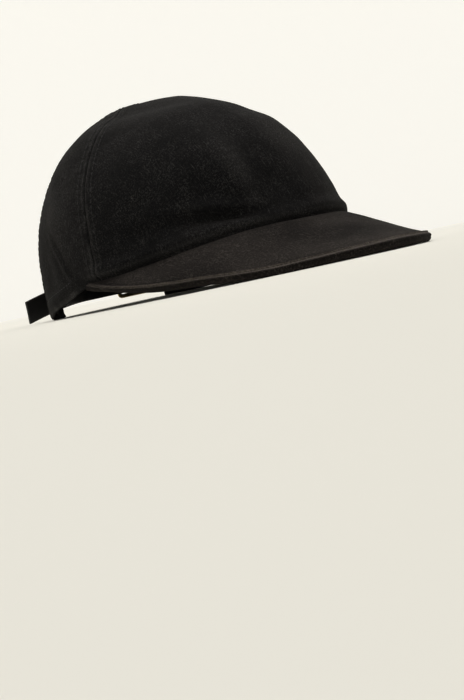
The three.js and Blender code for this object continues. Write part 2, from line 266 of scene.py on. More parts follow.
def cloth_detail(turn, rise, at, reach, low):
    """What sewing and wear do to the cloth: how far it stands out, and how grey it is, painted light
    included.
    """
    turn = wrapped(turn)
    seam = min(abs(turn - place) for place in SEAMS) * reach
    edge = max(rise - low, 0) * METRES_PER_RISE
    rough = noise.noise(at * FINE_BUMPS["scale"])
    lift = fold_height(CREASES, turn, rise) * smooth(rise, RELIEF_FROM, RELIEF_FULL)
    lift += BUMPS["high"] * noise.noise(at * BUMPS["scale"]) + FINE_BUMPS["high"] * rough
    lift -= SEAM_GROOVE["deep"] * hump(seam, SEAM_GROOVE["wide"])
    pressed = 1 - smooth(seam, STITCH_LINE, STITCH_LINE + ALLOWANCE["falls"])
    lift += ALLOWANCE["high"] * pressed * smooth(seam, 0, ALLOWANCE["rises"])
    lift -= STITCH_GROOVE["deep"] * hump(seam - STITCH_LINE, STITCH_GROOVE["wide"])
    pucker = math.sin(at.z * PUCKER["waves"] + PUCKER["drift"] * noise.noise(at * PUCKER["scale"]))
    near_seam = hump(seam - PUCKER["wide"], PUCKER["wide"])
    lift += PUCKER["high"] * pucker * near_seam * smooth(90 - rise, 2, 12)
    paling = SEAM_WEAR["much"] * hump(seam - SEAM_WEAR["beside"], SEAM_WEAR["wide"]) * (0.5 + 0.9 * rough)
    paling += STITCH_WEAR["much"] * hump(seam - STITCH_LINE, STITCH_WEAR["wide"]) * (1 + pucker) / 2
    paling += max(fold_height(FOLDS + CREASES, turn, rise), 0) * FOLD_WEAR
    # Painted highlight, partly wear: the top of the crown goes paler.
    paling += TOP_WEAR_AND_HIGHLIGHT["much"] * smooth(rise, TOP_WEAR_AND_HIGHLIGHT["from"], TOP_WEAR_AND_HIGHLIGHT["to"])
    paling += PATCH_WEAR["much"] * noise.noise(at * PATCH_WEAR["scale"])
    # Painted shade: the back of the crown is kept darker.
    paling -= BACK_PAINTED_SHADE["less"] * smooth(abs(turn), BACK_PAINTED_SHADE["from"], BACK_PAINTED_SHADE["to"])
    if abs(turn) < ROLL_ENDS:
        above = at.z - peak_top(*opening(min(abs(turn), PEAK_CORNER)))
        fades = 1 - smooth(abs(turn), ROLL_FADES_FROM, ROLL_ENDS)
        rolled = ROLL["high"] * hump(above - ROLL["up"], ROLL["wide"])
        lift += (rolled - TUCK["deep"] * hump(above, TUCK["wide"])) * fades
        paling += ROLL_WEAR["much"] * hump(above - ROLL_WEAR["up"], ROLL_WEAR["wide"]) * fades
    else:
        fades = smooth(abs(turn), ROLL_ENDS, HEM_FULL_FROM)
        groove = HEM["groove"] * hump(edge - HEM_LINE, HEM["groove_wide"])
        lift -= (TURNED_EDGE["deep"] * hump(edge, TURNED_EDGE["wide"]) + groove) * fades
        lift += HEM["high"] * (1 - smooth(edge, HEM_LINE - HEM["blend"], HEM_LINE + HEM["blend"])) * fades
        paled = HEM_WEAR["much"] * hump(edge - HEM_WEAR["up"], HEM_WEAR["wide"])
        paling += paled * (0.7 + 0.6 * rough) * fades
    return lift, min(max(paling, 0), 1)


def add_node(tree, kind, inputs, **settings):
    made = tree.nodes.new(kind)
    for name, value in settings.items():
        setattr(made, name, value)
    for name, value in inputs.items():
        if isinstance(value, bpy.types.NodeSocket):
            tree.links.new(value, made.inputs[name])
        else:
            made.inputs[name].default_value = value
    return made


def maths(tree, operation, first, second):
    return add_node(tree, "ShaderNodeMath", {0: first, 1: second}, operation=operation).outputs[0]


def above_floor(tree, value, floor, gain):
    """How far a value stands above a floor, times a gain, and nothing where it is below."""
    over = maths(tree, "MAXIMUM", maths(tree, "SUBTRACT", value, floor), 0.0)
    return maths(tree, "MULTIPLY", over, gain)


TWILL_SLANT = math.radians(28)
WAVE_RADIANS = 20
FLECK_SCALE = 1250.0
MOTTLE_SCALE = 85.0
SLUB_SCALE = (1500.0, 170.0, 1.0)


def denim(name, black, grey, twill_pitch, flecks, sheen):
    """Black twill: light weft flecks and thick fibres between slanting lines; grey for wear and painted
    light.
    """
    material = bpy.data.materials.new(name)
    material.use_nodes = True
    tree = material.node_tree
    shader = tree.nodes["Principled BSDF"]
    shader.inputs["Roughness"].default_value = 0.92
    shader.inputs["Specular IOR Level"].default_value = 0.03
    shader.inputs["Sheen Weight"].default_value = sheen
    shader.inputs["Sheen Roughness"].default_value = 0.6
    shader.inputs["Sheen Tint"].default_value = (0.8, 0.74, 0.68, 1)
    cloth = add_node(tree, "ShaderNodeUVMap", {}, uv_map="weave").outputs["UV"]
    paling = add_node(tree, "ShaderNodeAttribute", {}, attribute_name="paling").outputs["Fac"]
    slant = add_node(tree, "ShaderNodeMapping", {"Vector": cloth, "Rotation": (0, 0, TWILL_SLANT)})
    twill = add_node(
        tree, "ShaderNodeTexWave",
        {"Vector": slant.outputs[0], "Scale": math.tau / WAVE_RADIANS / twill_pitch, "Distortion": 1.6,
         "Detail": 2.0, "Detail Scale": 1.5},
        bands_direction="X",
    ).outputs["Fac"]
    place = add_node(tree, "ShaderNodeTexCoord", {}).outputs["Object"]
    fleck = add_node(
        tree, "ShaderNodeTexNoise",
        {"Vector": place, "Scale": FLECK_SCALE, "Detail": 2.0, "Roughness": 0.7},
    ).outputs["Fac"]
    mottle = add_node(
        tree, "ShaderNodeTexNoise",
        {"Vector": place, "Scale": MOTTLE_SCALE, "Detail": 5.0, "Roughness": 0.65},
    ).outputs["Fac"]
    pulled = add_node(tree, "ShaderNodeMapping", {"Vector": cloth, "Scale": SLUB_SCALE}).outputs[0]
    slub = add_node(
        tree, "ShaderNodeTexNoise", {"Vector": pulled, "Scale": 1.0, "Detail": 1.0}
    ).outputs["Fac"]
    specks = above_floor(tree, fleck, 0.47, 3.6)
    patches = above_floor(tree, mottle, 0.36, 1.5)
    fibres = above_floor(tree, slub, 0.62, 2.2)
    base = maths(tree, "MULTIPLY", specks, maths(tree, "ADD", patches, 0.12))
    base = maths(tree, "MULTIPLY", base, maths(tree, "ADD", maths(tree, "MULTIPLY", twill, 0.8), 0.6))
    base = maths(tree, "MULTIPLY", maths(tree, "ADD", base, fibres), flecks)
    # The vertex grey is wear, and in places painted highlight or painted shade.
    paled = maths(tree, "MULTIPLY", paling, maths(tree, "ADD", fleck, maths(tree, "MULTIPLY", twill, 0.25)))
    share = add_node(tree, "ShaderNodeClamp", {"Value": maths(tree, "ADD", base, paled)}).outputs[0]
    colour = add_node(
        tree, "ShaderNodeMix", {"Factor": share, "A": (*black, 1), "B": (*grey, 1)}, data_type="RGBA"
    )
    tree.links.new(colour.outputs["Result"], shader.inputs["Base Color"])
    height = maths(tree, "ADD", maths(tree, "MULTIPLY", twill, 0.7), maths(tree, "MULTIPLY", fleck, 1.1))
    bump = add_node(tree, "ShaderNodeBump", {"Height": height, "Strength": 0.6, "Distance": 0.00022})
    tree.links.new(bump.outputs["Normal"], shader.inputs["Normal"])
    return material


def lay_weave(bm, spread):
    """Gives the piece its weave map: roughly where each point lies on the flat cloth, in metres."""
    weave = bm.loops.layers.uv.new("weave")
    for face in bm.faces:
        for loop in face.loops:
            loop[weave].uv = spread[loop.vert]


def finish_piece(bm, name, material, nodes):
    """Turns a bmesh into an object of the scene that rides on the cap and stands for CAD nodes."""
    for face in bm.faces:
        face.smooth = True
    for edge in bm.edges:
        if len(edge.link_faces) == 2 and edge.calc_face_angle() > math.radians(50):
            edge.smooth = False
    mesh = bpy.data.meshes.new(name)
    bm.to_mesh(mesh)
    bm.free()
    mesh.materials.append(material)
    piece = bpy.data.objects.new(name, mesh)
    bpy.context.scene.collection.objects.link(piece)
    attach(piece, "root")
    if nodes:
        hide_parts(*nodes)
    return piece


LEAF_ROWS = 110
LEAF_TIP = 89.5
LOW_ROWS_CLOSER = 1.35
COLUMN_EASE = 0.65
NOTCH_SHARE = 0.4


def leaf_heights(turn):
    """How far the cloth runs up the dome to each whole degree of rise."""
    heights = [0.0]
    for degree in range(90):
        heights.append(heights[-1] + (dome(turn, degree + 1) - dome(turn, degree)).length)
    return heights


def ease(share):
    """Columns of a leaf: closer beside its seams."""
    return mix(share, 0.5 - 0.5 * math.cos(math.pi * share), COLUMN_EASE)


def ease_to_notch(share):
    """Columns of a rear leaf: eased up to the notch, then closer where its arch is steep."""
    begin = (back_turn(-NOTCH_HALF) - REAR_SEAM) / (180 - REAR_SEAM)
    if share < NOTCH_SHARE:
        return begin * ease(share / NOTCH_SHARE)
    swing = (share - NOTCH_SHARE) / (1 - NOTCH_SHARE) * math.pi / 2
    return (back_turn(-NOTCH_HALF * math.cos(swing)) - REAR_SEAM) / (180 - REAR_SEAM)


def sew_leaf(name, start, end, columns, material, columns_at=ease, low=lambda turn: 0.0):
    """One leaf of the crown between two seams, with its cloth thickness, weave map and wear."""
    bm = bmesh.new()
    bmesh.ops.create_grid(bm, x_segments=columns, y_segments=LEAF_ROWS, size=0.5)
    paling_layer = bm.verts.layers.float.new("paling")
    middle = (start + end) / 2
    heights = leaf_heights(middle)
    spread = {}
    for vert in bm.verts:
        share = columns_at(0.5 - vert.co.x)
        turn = mix(start, end, share)
        rise = mix(low(turn), LEAF_TIP, (vert.co.y + 0.5) ** LOW_ROWS_CLOSER)
        at, out, reach = dome_skin(turn, rise)
        lift, paling = cloth_detail(turn, rise, at, reach, low(turn))
        vert[paling_layer] = paling
        vert.co = at + out * (relief(turn, rise) + lift)
        degree = min(int(rise), 89)
        spread[vert] = ((turn - middle) * reach, mix(heights[degree], heights[degree + 1], rise - degree))
    lay_weave(bm, spread)
    leaf = finish_piece(bm, name, material, [name.replace("_denim", "")])
    wall = leaf.modifiers.new("cloth", "SOLIDIFY")
    wall.thickness = CLOTH
    wall.offset = -1


crown_denim = denim("black denim", (0.0024, 0.0025, 0.0027), (0.053, 0.051, 0.049), 0.0009, 0.88, 0.02)
sew_leaf("front_panel_denim", -FRONT_SEAM, FRONT_SEAM, 190, crown_denim)
sew_leaf("side_panel_right_denim", FRONT_SEAM, REAR_SEAM, 90, crown_denim)
sew_leaf("side_panel_left_denim", -REAR_SEAM, -FRONT_SEAM, 90, crown_denim)
sew_leaf("rear_panel_right_denim", REAR_SEAM, 180, 100, crown_denim, ease_to_notch, notch_rise)
sew_leaf(
    "rear_panel_left_denim", 180, 360 - REAR_SEAM, 100, crown_denim,
    lambda share: 1 - ease_to_notch(1 - share), notch_rise,
)


# The topstitching is black cotton thread. One row runs up each side of every crown seam and holds its
# allowance down, one row runs round the hem behind the peak, and one follows the notch in the back.
STITCH_LONG = 0.0024
STITCH_PITCH = 0.0032
THREAD_RADIUS = 0.0002
THREAD_PROUD = 0.00012
STEPS_PER_DEGREE = 10
SEAM_ROWS = {"from": 2.8, "to": 83, "over_notch": 0.005}
HEM_ROW = {"from": 90, "before_notch": 2.5}
NOTCH_ROW = {"beside": 0.004, "over": 0.0045, "from": 5, "to": 175}

thread = bpy.data.materials.new("black cotton thread")
thread.use_nodes = True
thread_shader = thread.node_tree.nodes["Principled BSDF"]
thread_shader.inputs["Roughness"].default_value = 0.7
thread_shader.inputs["Specular IOR Level"].default_value = 0.15
thread_noise = add_node(thread.node_tree, "ShaderNodeTexNoise", {"Scale": 900.0, "Detail": 2.0})
thread_place = add_node(thread.node_tree, "ShaderNodeTexCoord", {})
thread.node_tree.links.new(thread_place.outputs["Object"], thread_noise.inputs["Vector"])
thread_colour = add_node(
    thread.node_tree, "ShaderNodeMix",
    {"Factor": thread_noise.outputs["Fac"], "A": (0.006, 0.006, 0.006, 1), "B": (0.022, 0.021, 0.020, 1)},
    data_type="RGBA",
)
thread.node_tree.links.new(thread_colour.outputs["Result"], thread_shader.inputs["Base Color"])


def sew_row(bm, places):
    """Stitches along a row of close points: each is a short rounded length of thread."""
    gone = 0.0
    start = places[0]
    for before, after in zip(places, places[1:]):
        gone += (after - before).length
        if gone < STITCH_PITCH:
            continue
        way = (after - start).normalized()
        middle = (start + after) / 2
        shape = Matrix.Diagonal((THREAD_RADIUS, THREAD_RADIUS, STITCH_LONG / 2, 1))
        turned = way.to_track_quat("Z", "Y").to_matrix().to_4x4()
        bmesh.ops.create_uvsphere(
            bm, u_segments=6, v_segments=5, radius=1, matrix=Matrix.Translation(middle) @ turned @ shape
        )
        gone, start = 0.0, after


def thread_point(turn, rise):
    """Where a thread lies on the cloth."""
    at, out, reach = dome_skin(turn, rise)
    lift, _ = cloth_detail(turn, rise, at, reach, 0)
    return at + out * (relief(turn, rise) + lift + THREAD_PROUD)


stitches = bmesh.new()
for seam in (-REAR_SEAM, -FRONT_SEAM, FRONT_SEAM, REAR_SEAM, 180):
    for side in (-1, 1):
        row = []
        over_notch = rise_at(seam, NOTCH_HEIGHT + SEAM_ROWS["over_notch"])
        low = over_notch if seam == 180 else SEAM_ROWS["from"]
        for step in range(int(STEPS_PER_DEGREE * low), STEPS_PER_DEGREE * SEAM_ROWS["to"]):
            rise = step / STEPS_PER_DEGREE
            beside = seam + side * STITCH_LINE / dome_skin(seam, rise)[2]
            row.append(thread_point(beside, rise))
        sew_row(stitches, row)
hem_end = back_turn(-NOTCH_HALF) - HEM_ROW["before_notch"]
for side in (-1, 1):
    row = []
    for step in range(STEPS_PER_DEGREE * HEM_ROW["from"], int(STEPS_PER_DEGREE * hem_end)):
        row.append(thread_point(side * step / STEPS_PER_DEGREE, HEM_LINE / METRES_PER_RISE))
    sew_row(stitches, row)
row = []
for degree in range(NOTCH_ROW["from"], NOTCH_ROW["to"] + 1):
    x = math.cos(math.radians(degree))
    turn = back_turn(-(NOTCH_HALF + NOTCH_ROW["beside"]) * x)
    high = (NOTCH_HEIGHT + NOTCH_ROW["over"]) * math.sqrt(1 - x * x)
    row.append(thread_point(turn, rise_at(180, high)))
sew_row(stitches, row)
finish_piece(stitches, "topstitching", thread, [])


# The peak is a stiff board between a top and an under cloth of the same denim. The cloths are sewn
# together round its edge and turned, which leaves a raised, worn rim on top and a seam round the edge.
# The paler front is painted highlight; the rim's pale line and the pale top of the edge are partly wear
# and partly painted highlight, and the side of the edge is kept dark as painted shade.
PEAK_REACH = 0.055
PEAK_HALF = 0.080
PEAK_POWER = 2.12
PEAK_LEAN_RUN = 0.010
PEAK_GAP = 0.0003
PEAK_STEPS = 220
TOP_STEPS = 34
EDGE_STEPS = 16
UNDER_STEPS = 26
TOP_EASE = 0.7
CORNERS_CLOSER = 1.25
EDGE_FULLNESS = 0.8
EDGE_SHARE = 0.42
PEAK_BUMPS = {"high": 0.00012, "scale": 130}
RIM = {"high": 0.0009, "in": 0.0024, "wide": 0.0011}
RIM_HOLLOW = {"deep": 0.0003, "in": 0.0048, "wide": 0.0010}
CROWN_TUCK = {"deep": 0.0005, "wide": 0.0012}
EDGE_SEAM = {"deep": 0.00035, "share": 0.42, "wide": 0.00035}
# The front's paling, the rim line and the upper edge are partly painted highlight.
FACE_WEAR_AND_HIGHLIGHT = {"least": 0.030, "patches": 0.13, "scale": 40, "front": 0.10, "from": 0.022, "to": 0.052}
RIM_WEAR_AND_HIGHLIGHT = {"much": 1.1, "in": 0.0018, "wide": 0.0012, "scale": 300}
UPPER_EDGE_WEAR_AND_HIGHLIGHT = {"much": 0.8, "share": 0.05, "wide": 0.10}
LOWER_EDGE_WEAR = {"much": 0.08, "share": 0.62, "wide": 0.14}
RIM_FITS = {"from": 0.004, "to": 0.012}
RIM_PALING_SPAN = {"from": 0.004, "to": 0.030, "least": 0.35}


def peak_point(part, stage, share):
    """A point of the peak's skin, its wear with painted light, and its place on the flat cloth.

    part runs from corner to corner, and share along one stage: the top, the edge or the under side."""
    inner = crown_point(part * PEAK_CORNER, 0, PEAK_GAP)
    swing = part * math.pi / 2
    power = 2 / PEAK_POWER
    corner_y = opening(PEAK_CORNER)[1]
    x = -PEAK_HALF * signed_power(math.sin(swing), power)
    y = mix(corner_y, -HALF_LENGTH - PEAK_REACH, abs(math.cos(swing)) ** power)
    start = Vector((inner.x, inner.y - MIDDLE_Y))
    end = Vector((x, y))
    wide = (end - start).length
    thick = peak_thick(part)
    edge_radius = min(thick / 2, wide * EDGE_SHARE)
    run = {"top": share * (wide - edge_radius), "under": (1 - share) * (wide - edge_radius)}.get(stage)
    drop = 0.0 if stage == "top" else thick
    if stage == "edge":
        angle = share * math.pi
        full = abs(math.sin(angle)) ** EDGE_FULLNESS
        from_seam = (share - EDGE_SEAM["share"]) * math.pi * edge_radius
        groove = EDGE_SEAM["deep"] * hump(from_seam, EDGE_SEAM["wide"])
        run = wide - edge_radius + edge_radius * full - groove
        drop = thick * (0.5 - 0.5 * signed_power(math.cos(angle), EDGE_FULLNESS))
    at = start + (end - start) * (run / wide)
    skin = Vector((at.x, at.y, peak_top(at.x, at.y)))
    square = Vector((at.x / BEND_REAR["radius"], -PEAK_SLOPE, 1)).normalized()
    up = Vector((0, 0, 1)).lerp(square, smooth(run, 0, PEAK_LEAN_RUN)).normalized()
    from_edge = wide - run
    paling = FACE_WEAR_AND_HIGHLIGHT["least"] + FACE_WEAR_AND_HIGHLIGHT["patches"] * noise.noise(skin * FACE_WEAR_AND_HIGHLIGHT["scale"])
    # Painted highlight: the front of the peak goes paler.
    paling += FACE_WEAR_AND_HIGHLIGHT["front"] * smooth(run, FACE_WEAR_AND_HIGHLIGHT["from"], FACE_WEAR_AND_HIGHLIGHT["to"])
    lift = PEAK_BUMPS["high"] * noise.noise(skin * PEAK_BUMPS["scale"])
    fits = smooth(wide, RIM_FITS["from"], RIM_FITS["to"])
    # How strongly the rim's wear and painted highlight show: less toward the corners.
    rim_paling = mix(RIM_PALING_SPAN["least"], 1, smooth(wide, RIM_PALING_SPAN["from"], RIM_PALING_SPAN["to"]))
    if stage == "top":
        lift += RIM["high"] * hump(from_edge - RIM["in"], RIM["wide"]) * fits
        lift -= RIM_HOLLOW["deep"] * hump(from_edge - RIM_HOLLOW["in"], RIM_HOLLOW["wide"]) * fits
        lift -= CROWN_TUCK["deep"] * hump(run, CROWN_TUCK["wide"])
        uneven = 0.8 + 0.5 * noise.noise(skin * RIM_WEAR_AND_HIGHLIGHT["scale"])
        # The pale line along the rim is partly wear and partly a painted highlight.
        paling += RIM_WEAR_AND_HIGHLIGHT["much"] * hump(from_edge - RIM_WEAR_AND_HIGHLIGHT["in"], RIM_WEAR_AND_HIGHLIGHT["wide"]) * uneven * rim_paling
    if stage == "edge":
        # Painted highlight on the upper edge; the rest of the edge keeps none of the face's grey, as
        # painted shade.
        upper, lower = UPPER_EDGE_WEAR_AND_HIGHLIGHT, LOWER_EDGE_WEAR
        paling = upper["much"] * rim_paling * hump(share - upper["share"], upper["wide"])
        paling += lower["much"] * hump(share - lower["share"], lower["wide"])
    skin += up * (lift - drop)
    skin.y += MIDDLE_Y
    return skin, min(max(paling, 0), 1), (at.x, run - drop)


peak = bmesh.new()
around = TOP_STEPS + EDGE_STEPS + UNDER_STEPS
bmesh.ops.create_grid(peak, x_segments=PEAK_STEPS, y_segments=around + 1, size=0.5)
paling_layer = peak.verts.layers.float.new("paling")
spread = {}
for vert in peak.verts:
    part = -2 * vert.co.x
    part = math.copysign(1 - (1 - abs(part)) ** CORNERS_CLOSER, part)
    step = round((vert.co.y + 0.5) * (around + 1)) % (around + 1)
    if step < TOP_STEPS:
        eased = 0.5 - 0.5 * math.cos(math.pi * step / TOP_STEPS)
        place = ("top", mix(step / TOP_STEPS, eased, TOP_EASE))
    elif step < TOP_STEPS + EDGE_STEPS:
        place = ("edge", (step - TOP_STEPS) / EDGE_STEPS)
    else:
        place = ("under", (step - TOP_STEPS - EDGE_STEPS) / UNDER_STEPS)
    vert.co, vert[paling_layer], spread[vert] = peak_point(part, *place)
lay_weave(peak, spread)
bmesh.ops.remove_doubles(peak, verts=peak.verts[:], dist=0.00001)
bmesh.ops.holes_fill(peak, edges=[edge for edge in peak.edges if edge.is_boundary], sides=0)
bmesh.ops.recalc_face_normals(peak, faces=peak.faces[:])
peak_denim = denim(
    "black denim of the peak", (0.0044, 0.0037, 0.0034), (0.125, 0.108, 0.095), 0.0009, 0.45, 0.02
)
finish_piece(peak, "peak_denim", peak_denim, ["peak"])


# The sweatband is a folded strip of plain black cotton inside the lower edge. It is sewn in at the
# bottom only, and its upper edge is a soft fold.
BAND_LOW = 0.6
BAND_HIGH = 14.6
BAND_END = 138.5
BAND_CLEAR = 0.0008
BAND_THICK = 0.0012
BAND_TALL = 0.028
BAND_METRES_PER_TURN = 0.0016
BAND_COLUMNS = 300
BAND_ROWS = 18
BAND_ROWS_CLOSER = 1.2
BAND_WAVE = {"high": 0.0002, "along": 0.12, "up": 2}
BAND_WEAR = {"much": 0.25, "wide": 0.08}
BAND_ROUNDING = 0.0004
SHARP_TURN = 1.2


def round_edges(bm, sharper_than, offset, segments):
    """Rounds every edge whose faces turn by more than an angle, in radians."""
    sharp = [edge for edge in bm.edges if edge.calc_face_angle(0) > sharper_than]
    bmesh.ops.bevel(
        bm, geom=sharp, offset=offset, offset_type="OFFSET", segments=segments, profile=0.5, affect="EDGES",
        material=-1,
    )


band = bmesh.new()
bmesh.ops.create_grid(band, x_segments=BAND_COLUMNS, y_segments=BAND_ROWS, size=0.5)
paling_layer = band.verts.layers.float.new("paling")
spread = {}
for vert in band.verts:
    turn = -2 * vert.co.x * BAND_END
    up = vert.co.y + 0.5
    rise = mix(BAND_LOW, BAND_HIGH, up ** BAND_ROWS_CLOSER)
    spread[vert] = (turn * BAND_METRES_PER_TURN, up * BAND_TALL)
    wave = BAND_WAVE["high"] * noise.noise(Vector((turn * BAND_WAVE["along"], up * BAND_WAVE["up"], 0)))
    vert.co = crown_point(turn, rise, -CLOTH - BAND_CLEAR + wave)
    vert[paling_layer] = BAND_WEAR["much"] * hump(up - 1, BAND_WEAR["wide"])
lay_weave(band, spread)
band.normal_update()
bmesh.ops.solidify(band, geom=band.faces[:], thickness=BAND_THICK)
round_edges(band, SHARP_TURN, BAND_ROUNDING, 2)
band_cotton = denim(
    "black cotton of the sweatband", (0.006, 0.006, 0.006), (0.04, 0.038, 0.036), 0.0007, 0.5, 0.05
)
finish_piece(band, "sweatband_cotton", band_cotton, ["sweatband"])


# The strap is a cut band of smooth black leather. It is sewn inside the crown at the wearer's right,
# runs across the notch, turns round the end bar of the buckle and comes back outside with a free tail.
STRAP_WIDE = 0.013
STRAP_THICK = 0.0018
STRAP_LOW = 0.0065
STRAP_SEWN = 0.011
STRAP_INSIDE = -0.0033
TURN_RADIUS = 0.0027
TAIL_LEAVES = -0.006
TAIL_FREE = 0.046
TAIL_CLEAR = 0.0004
BUCKLE_ACROSS = 0.022
BUCKLE_LONG = 0.020
BUCKLE_BAR = 0.0022
BESIDE_BUCKLE = 0.0125
HALF_TURN_STEPS = 12
INSIDE_STEPS = 24
OUTSIDE_STEPS = 6
TAIL_STEPS = 20
LEATHER_STEP = 0.0006
LEATHER_ROWS = 10
LEATHER_SLACK = 0.0002
LEATHER_CUP = 0.00015
LEATHER_WAVE = {"high": 0.00012, "scale": 90}
LEATHER_ROUNDING = 0.0004
LEATHER_WEAR = {"much": 0.5, "wide": 0.06}


def on_back(x, lift):
    """A point on the back of the crown at half the strap's height, seen from above."""
    turn = back_turn(x)
    at = crown_point(turn, rise_at(turn, STRAP_LOW + STRAP_WIDE / 2), lift)
    return Vector((at.x, at.y))


buckle_middle = on_back(BUCKLE_ACROSS, STRAP_INSIDE + TURN_RADIUS)
buckle_way = (on_back(BUCKLE_ACROSS + 0.001, 0) - on_back(BUCKLE_ACROSS - 0.001, 0)).normalized()
buckle_out = Vector((-buckle_way.y, buckle_way.x))


def half_turn(end):
    """Half a turn round one end bar of the buckle, from the inside to the outside."""
    reach = (BUCKLE_LONG - BUCKLE_BAR) / 2
    turn = []
    for step in range(HALF_TURN_STEPS + 1):
        swing = math.pi * step / HALF_TURN_STEPS
        along = buckle_way * end * (reach - TURN_RADIUS * math.sin(swing))
        turn.append(buckle_middle + along - buckle_out * TURN_RADIUS * math.cos(swing))
    return turn


def walk(points):
    """How far each point of a path lies from its start."""
    gone = [0.0]
    for before, after in zip(points, points[1:]):
        gone.append(gone[-1] + (after - before).length)
    return gone


def along_path(points, gone, far):
    """The place at a distance along a path, and its index between the path's points."""
    for index in range(1, len(points)):
        if far <= gone[index] or index == len(points) - 1:
            share = (far - gone[index - 1]) / max(gone[index] - gone[index - 1], 1e-9)
            return points[index - 1].lerp(points[index], share), index - 1 + share
    return points[0], 0.0


def leather(name):
    """Smooth black leather with fine pores and creases, grey-brown where its edges are rubbed."""
    material = bpy.data.materials.new(name)
    material.use_nodes = True
    tree = material.node_tree
    shader = tree.nodes["Principled BSDF"]
    shader.inputs["Specular IOR Level"].default_value = 0.2
    place = add_node(tree, "ShaderNodeUVMap", {}, uv_map="weave").outputs["UV"]
    paling = add_node(tree, "ShaderNodeAttribute", {}, attribute_name="paling").outputs["Fac"]
    pores = add_node(tree, "ShaderNodeTexVoronoi", {"Vector": place, "Scale": 1700.0}, feature="F1")
    creases = add_node(
        tree, "ShaderNodeTexNoise", {"Vector": place, "Scale": 260.0, "Detail": 5.0, "Distortion": 0.4}
    )
    paled = maths(tree, "MULTIPLY", paling, maths(tree, "ADD", creases.outputs["Fac"], 0.3))
    share = maths(tree, "ADD", paled, maths(tree, "MULTIPLY", creases.outputs["Fac"], 0.12))
    colour = add_node(
        tree, "ShaderNodeMix",
        {"Factor": share, "A": (0.0042, 0.0042, 0.0045, 1), "B": (0.042, 0.037, 0.033, 1)},
        data_type="RGBA",
    )
    tree.links.new(colour.outputs["Result"], shader.inputs["Base Color"])
    gloss = add_node(
        tree, "ShaderNodeMapRange", {"Value": creases.outputs["Fac"], "To Min": 0.42, "To Max": 0.62}
    )
    tree.links.new(gloss.outputs["Result"], shader.inputs["Roughness"])
    folds = maths(tree, "MULTIPLY", creases.outputs["Fac"], 1.5)
    height = maths(tree, "ADD", pores.outputs["Distance"], folds)
    bump = add_node(tree, "ShaderNodeBump", {"Height": height, "Strength": 0.35, "Distance": 0.0001})
    tree.links.new(bump.outputs["Normal"], shader.inputs["Normal"])
    return material


def cut_leather(name, points, low, material, node):
    """A flat leather band on edge along a path, with rounded cut edges. low gives its lower edge."""
    gone = walk(points)
    bm = bmesh.new()
    bmesh.ops.create_grid(bm, x_segments=int(gone[-1] / LEATHER_STEP), y_segments=LEATHER_ROWS, size=0.5)
    paling_layer = bm.verts.layers.float.new("paling")
    spread = {}
    for vert in bm.verts:
        far = (vert.co.x + 0.5) * gone[-1]
        up = vert.co.y + 0.5
        at, index = along_path(points, gone, far)
        before = along_path(points, gone, max(far - LEATHER_STEP, 0))[0]
        after = along_path(points, gone, min(far + LEATHER_STEP, gone[-1]))[0]
        way = (after - before).normalized()
        cup = LEATHER_CUP * math.sin(math.pi * up)
        cup += LEATHER_WAVE["high"] * noise.noise(Vector((far * LEATHER_WAVE["scale"], up, 0)))
        lift = STRAP_THICK / 2 + cup - LEATHER_SLACK / 2
        vert.co = Vector((at.x - way.y * lift, at.y + way.x * lift, low(index) + up * STRAP_WIDE))
        both_edges = hump(up, LEATHER_WEAR["wide"]) + hump(1 - up, LEATHER_WEAR["wide"])
        vert[paling_layer] = LEATHER_WEAR["much"] * both_edges
        spread[vert] = (far, up * STRAP_WIDE)
    lay_weave(bm, spread)
    bmesh.ops.reverse_faces(bm, faces=bm.faces[:])
    bm.normal_update()
    bmesh.ops.solidify(bm, geom=bm.faces[:], thickness=STRAP_THICK - LEATHER_SLACK)
    round_edges(bm, SHARP_TURN, LEATHER_ROUNDING, 3)
    finish_piece(bm, name, material, [node])


strap_leather = leather("smooth black leather")
strap_path = []
for step in range(INSIDE_STEPS + 1):
    x = mix(-NOTCH_HALF - STRAP_SEWN, BUCKLE_ACROSS - BESIDE_BUCKLE, step / INSIDE_STEPS)
    strap_path.append(on_back(x, STRAP_INSIDE))
strap_path += half_turn(-1)
for step in range(OUTSIDE_STEPS + 1):
    x = mix(BUCKLE_ACROSS - BESIDE_BUCKLE, TAIL_LEAVES, step / OUTSIDE_STEPS)
    strap_path.append(on_back(x, STRAP_INSIDE + 2 * TURN_RADIUS))
tail_from = len(strap_path) - 1
tail_way = (strap_path[-1] - strap_path[-2]).normalized()
for step in range(1, TAIL_STEPS + 1):
    strap_path.append(strap_path[tail_from] + tail_way * TAIL_FREE * step / TAIL_STEPS)


def strap_low(index):
    """Height of the strap's lower edge: level, and drooping along the free tail."""
    droop = 1 - math.cos(max(index - tail_from, 0) / TAIL_STEPS * math.pi / 2)
    return mix(STRAP_LOW, TAIL_CLEAR, droop)


cut_leather("strap_leather", strap_path, strap_low, strap_leather, "strap")


# The tab is a short piece of the same leather, folded round the other end bar of the buckle and sewn
# to the crown at the wearer's left, with one leaf inside and one outside. A square of black thread holds
# it, and two rows through the crown hold the strap's hidden end on the other side.
TAB_STEPS = 8
ROW_STEPS = 60
SQUARE_IN = 0.002
SQUARE_FROM_BUCKLE = 0.0045
HIDDEN_ROWS = (0.007, 0.0098)

